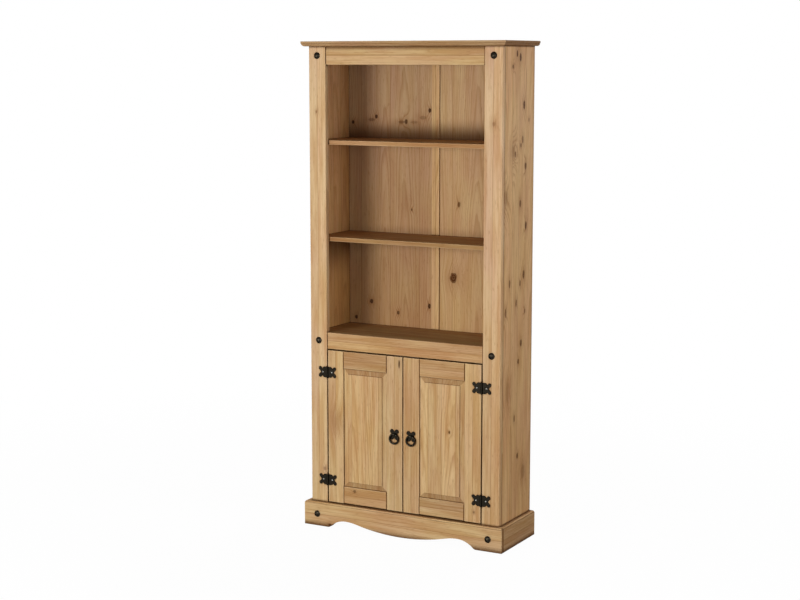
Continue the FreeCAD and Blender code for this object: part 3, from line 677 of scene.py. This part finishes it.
def board_knots(do, board):
    """The dark cores, stained halos and ring bends of all knots of a board."""
    sums = {"Dark": 0.0, "Halo": 0.0, "Bend": 0.0}
    for along_share, across_share, radius, stretch, core_share in knot_shares.get(board.name, []):
        made = do.group(knot_group, {
            "Across": board.across, "Along": board.along,
            "Knot Across": (across_share - 0.5) * 2 * board.half_across,
            "Knot Along": (along_share - 0.5) * 2 * board.half_along,
            "Radius": radius, "Stretch": stretch, "Core": core_share, **sums})
        sums = {name: made[name] for name in sums}
    return sums


def make_pine(name, finish, seed):
    """Pine for one board, with its grain along the board's longest side."""
    material, do, shader = new_material(name + "_pine")
    board = Board(do, name)
    wood = do.group(pine_group, {
        "Across": board.across, "Through": board.through, "Along": board.along, "Seed": seed,
        "Stave": glued_stave if name in glued_boards else finish_staves[finish],
        "Figure": figure_shares.get(name, finish_figure_shares[finish]),
        "Streak": streak_shares.get(name, finish_streak_shares[finish]),
        # Wear that also paints highlights along the arrises
        "Wear And Highlight": 0.0 if name in butted_boards else near_arris(do, board, wear_and_highlight_width),
        "End": do.smooth(do.size(board.facing_along), *end_facing_shares),
        "Dirt And Shade": board_dirt_and_shade(do, board),
        "Tone": board_tone_and_shade(do, board, finish),
        "Knot": sound_knot if name in sound_boards else dead_knot,
        **board_knots(do, board)})
    do.feed(shader["Base Color"], wood["Color"])
    do.feed(shader["Roughness"], wood["Roughness"])
    do.feed(shader["Normal"], do.bump(wood["Height"], pine_bump_share, fibre_height))
    do.feed(shader["Specular IOR Level"], pine_specular_share)
    return material


def make_iron():
    """Black lacquered iron with a hammered face."""
    material, do, shader = new_material("hammered_black_iron")
    place = do.add("TexCoord").outputs["Object"]
    dents = do.add("TexVoronoi", feature="SMOOTH_F1")
    do.feed(dents.inputs["Vector"], place)
    do.feed(dents.inputs["Scale"], iron_dents)
    speckle = do.noise(place, iron_speckles, metal_detail)
    do.feed(shader["Base Color"], do.mix(do.smooth(speckle, *iron_level_shares), iron_dark, iron_light))
    do.feed(shader["Roughness"], do.scaled(speckle, speckle_roughness_share, iron_roughness))
    height = do.scaled(speckle, speckle_height_share, dents.outputs["Distance"])
    do.feed(shader["Normal"], do.bump(height, iron_bump_share, iron_dent_depth))
    do.feed(shader["Metallic"], 1.0)
    do.feed(shader["Specular Tint"], iron_edge)
    return material


def make_steel(name, bright, shade, roughness):
    """Plated steel with fine turning marks and a mottled plating."""
    material, do, shader = new_material(name)
    marks = do.noise(do.add("TexCoord").outputs["Object"], steel_marks, metal_detail)
    mottle = do.smooth(marks, *steel_level_shares)
    do.feed(shader["Base Color"], do.mix(mottle, bright, shade))
    do.feed(shader["Roughness"], do.scaled(mottle, steel_roughness_share, roughness))
    do.feed(shader["Normal"], do.bump(marks, steel_bump_share, fine_mark_depth))
    do.feed(shader["Metallic"], 1.0)
    return material


def make_plastic():
    """Brown moulded plastic with a faint spark-eroded grain."""
    material, do, shader = new_material("catch_moulding")
    sparks = do.noise(do.add("TexCoord").outputs["Object"], plastic_sparks, fine_detail)
    do.feed(shader["Base Color"], do.mix(sparks, plastic_dark, plastic_light))
    do.feed(shader["Roughness"], do.scaled(sparks, plastic_roughness_share, plastic_roughness))
    do.feed(shader["Normal"], do.bump(sparks, plastic_bump_share, fine_mark_depth))
    return material


def dress_nodes():
    """Gives every construction node its finish."""
    for order, name in enumerate(sorted(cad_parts)):
        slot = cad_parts[name].material_slots[0]
        finish = slot.material.name
        if finish in plain_finishes:
            slot.material = plain_finishes[finish]
        else:
            slot.material = make_pine(name, finish, seed_step * order + first_seed)


def seen_rays(do):
    """One for rays that show the background: from the camera, a reflection or a clear pane."""
    path = do.add("LightPath").outputs
    reflected = do.most(path["Is Glossy Ray"], path["Is Transmission Ray"])
    return do.most(path["Is Camera Ray"], reflected)


def make_floor():
    """A white floor that keeps a faint shadow near the object and fades into the white background."""
    mesh = bpy.data.meshes.new("studio_floor")
    reach = floor_span / 2
    plan = ((-reach, -reach), (reach, -reach), (reach, reach), (-reach, reach))
    mesh.from_pydata([(x, y, cad_low.z) for x, y in plan], [], [(0, 1, 2, 3)])
    floor = bpy.data.objects.new("studio_floor", mesh)
    bpy.context.scene.collection.objects.link(floor)
    material, do, shader = new_material("studio_floor")
    nodes = material.node_tree.nodes
    seen = seen_rays(do)
    do.feed(shader["Base Color"], do.mix(seen, floor_bounce, white))
    do.feed(shader["Roughness"], floor_roughness)
    do.feed(shader["Specular IOR Level"], 0.0)
    distance = do.add("VectorMath", operation="LENGTH")
    do.feed(distance.inputs[0], do.add("TexCoord").outputs["Object"])
    fade = do.smooth(distance.outputs["Value"], floor_fade_start, floor_fade_end)
    glow_share = do.scaled(fade, 1.0 - floor_glow_share, floor_glow_share)
    blend = do.add("MixShader")
    do.feed(blend.inputs[0], do.times(seen, glow_share))
    do.feed(blend.inputs[1], nodes["Principled BSDF"].outputs[0])
    do.feed(blend.inputs[2], do.add("Emission").outputs[0])
    do.feed(nodes["Material Output"].inputs["Surface"], blend.outputs[0])
    mesh.materials.append(material)


def make_world():
    """A white surround that shows as plain white and lights the object gently, less from overhead."""
    world = bpy.data.worlds.new("studio")
    bpy.context.scene.world = world
    world.use_nodes = True
    do = Shader(world.node_tree)
    background = world.node_tree.nodes["Background"].inputs
    do.feed(background["Color"], white)
    height = do.parts(do.add("TexCoord").outputs["Generated"])[2]
    overhead = do.smooth(height, *overhead_height_shares)
    ambient = do.scaled(overhead, ambient_strength * (overhead_share - 1.0), ambient_strength)
    do.feed(background["Strength"], do.most(seen_rays(do), ambient))


def make_light(name, place, power):
    """A soft square lamp at a place, turned to the middle of the object."""
    lamp = bpy.data.lights.new(name, "AREA")
    lamp.size = lamp_size
    lamp.energy = power
    light = bpy.data.objects.new(name, lamp)
    light.location = place
    aim = cad_middle - Vector(place)
    light.rotation_euler = aim.to_track_quat("-Z", "Y").to_euler()
    bpy.context.scene.collection.objects.link(light)


def make_camera():
    """The photograph's side of the object, seen from eye height."""
    lens = bpy.data.cameras.new("photo_view")
    lens.lens = camera_lens_mm
    camera = bpy.data.objects.new("photo_view", lens)
    camera.location = eye
    tilt = math.radians(90 - camera_pitch_degrees)
    camera.rotation_euler = (tilt, 0.0, math.radians(camera_yaw_degrees))
    bpy.context.scene.collection.objects.link(camera)
    bpy.context.scene.camera = camera


# Finishes
knot_group = make_knot_group()
pine_group = make_pine_group()
plain_finishes = {
    "black_iron": make_iron(),
    "screw_steel": make_steel("screw_heads", screw_bright, screw_shade, screw_roughness),
    "bright_steel": make_steel("zinc_plate", zinc_bright, zinc_shade, zinc_roughness),
    "catch_plastic": make_plastic()}
dress_nodes()

# Studio and camera
make_floor()
make_world()
for lamp_name, (lamp_place, lamp_power) in lamps.items():
    make_light(lamp_name, lamp_place, lamp_power)
make_camera()
bpy.context.scene.view_settings.view_transform = "Standard"
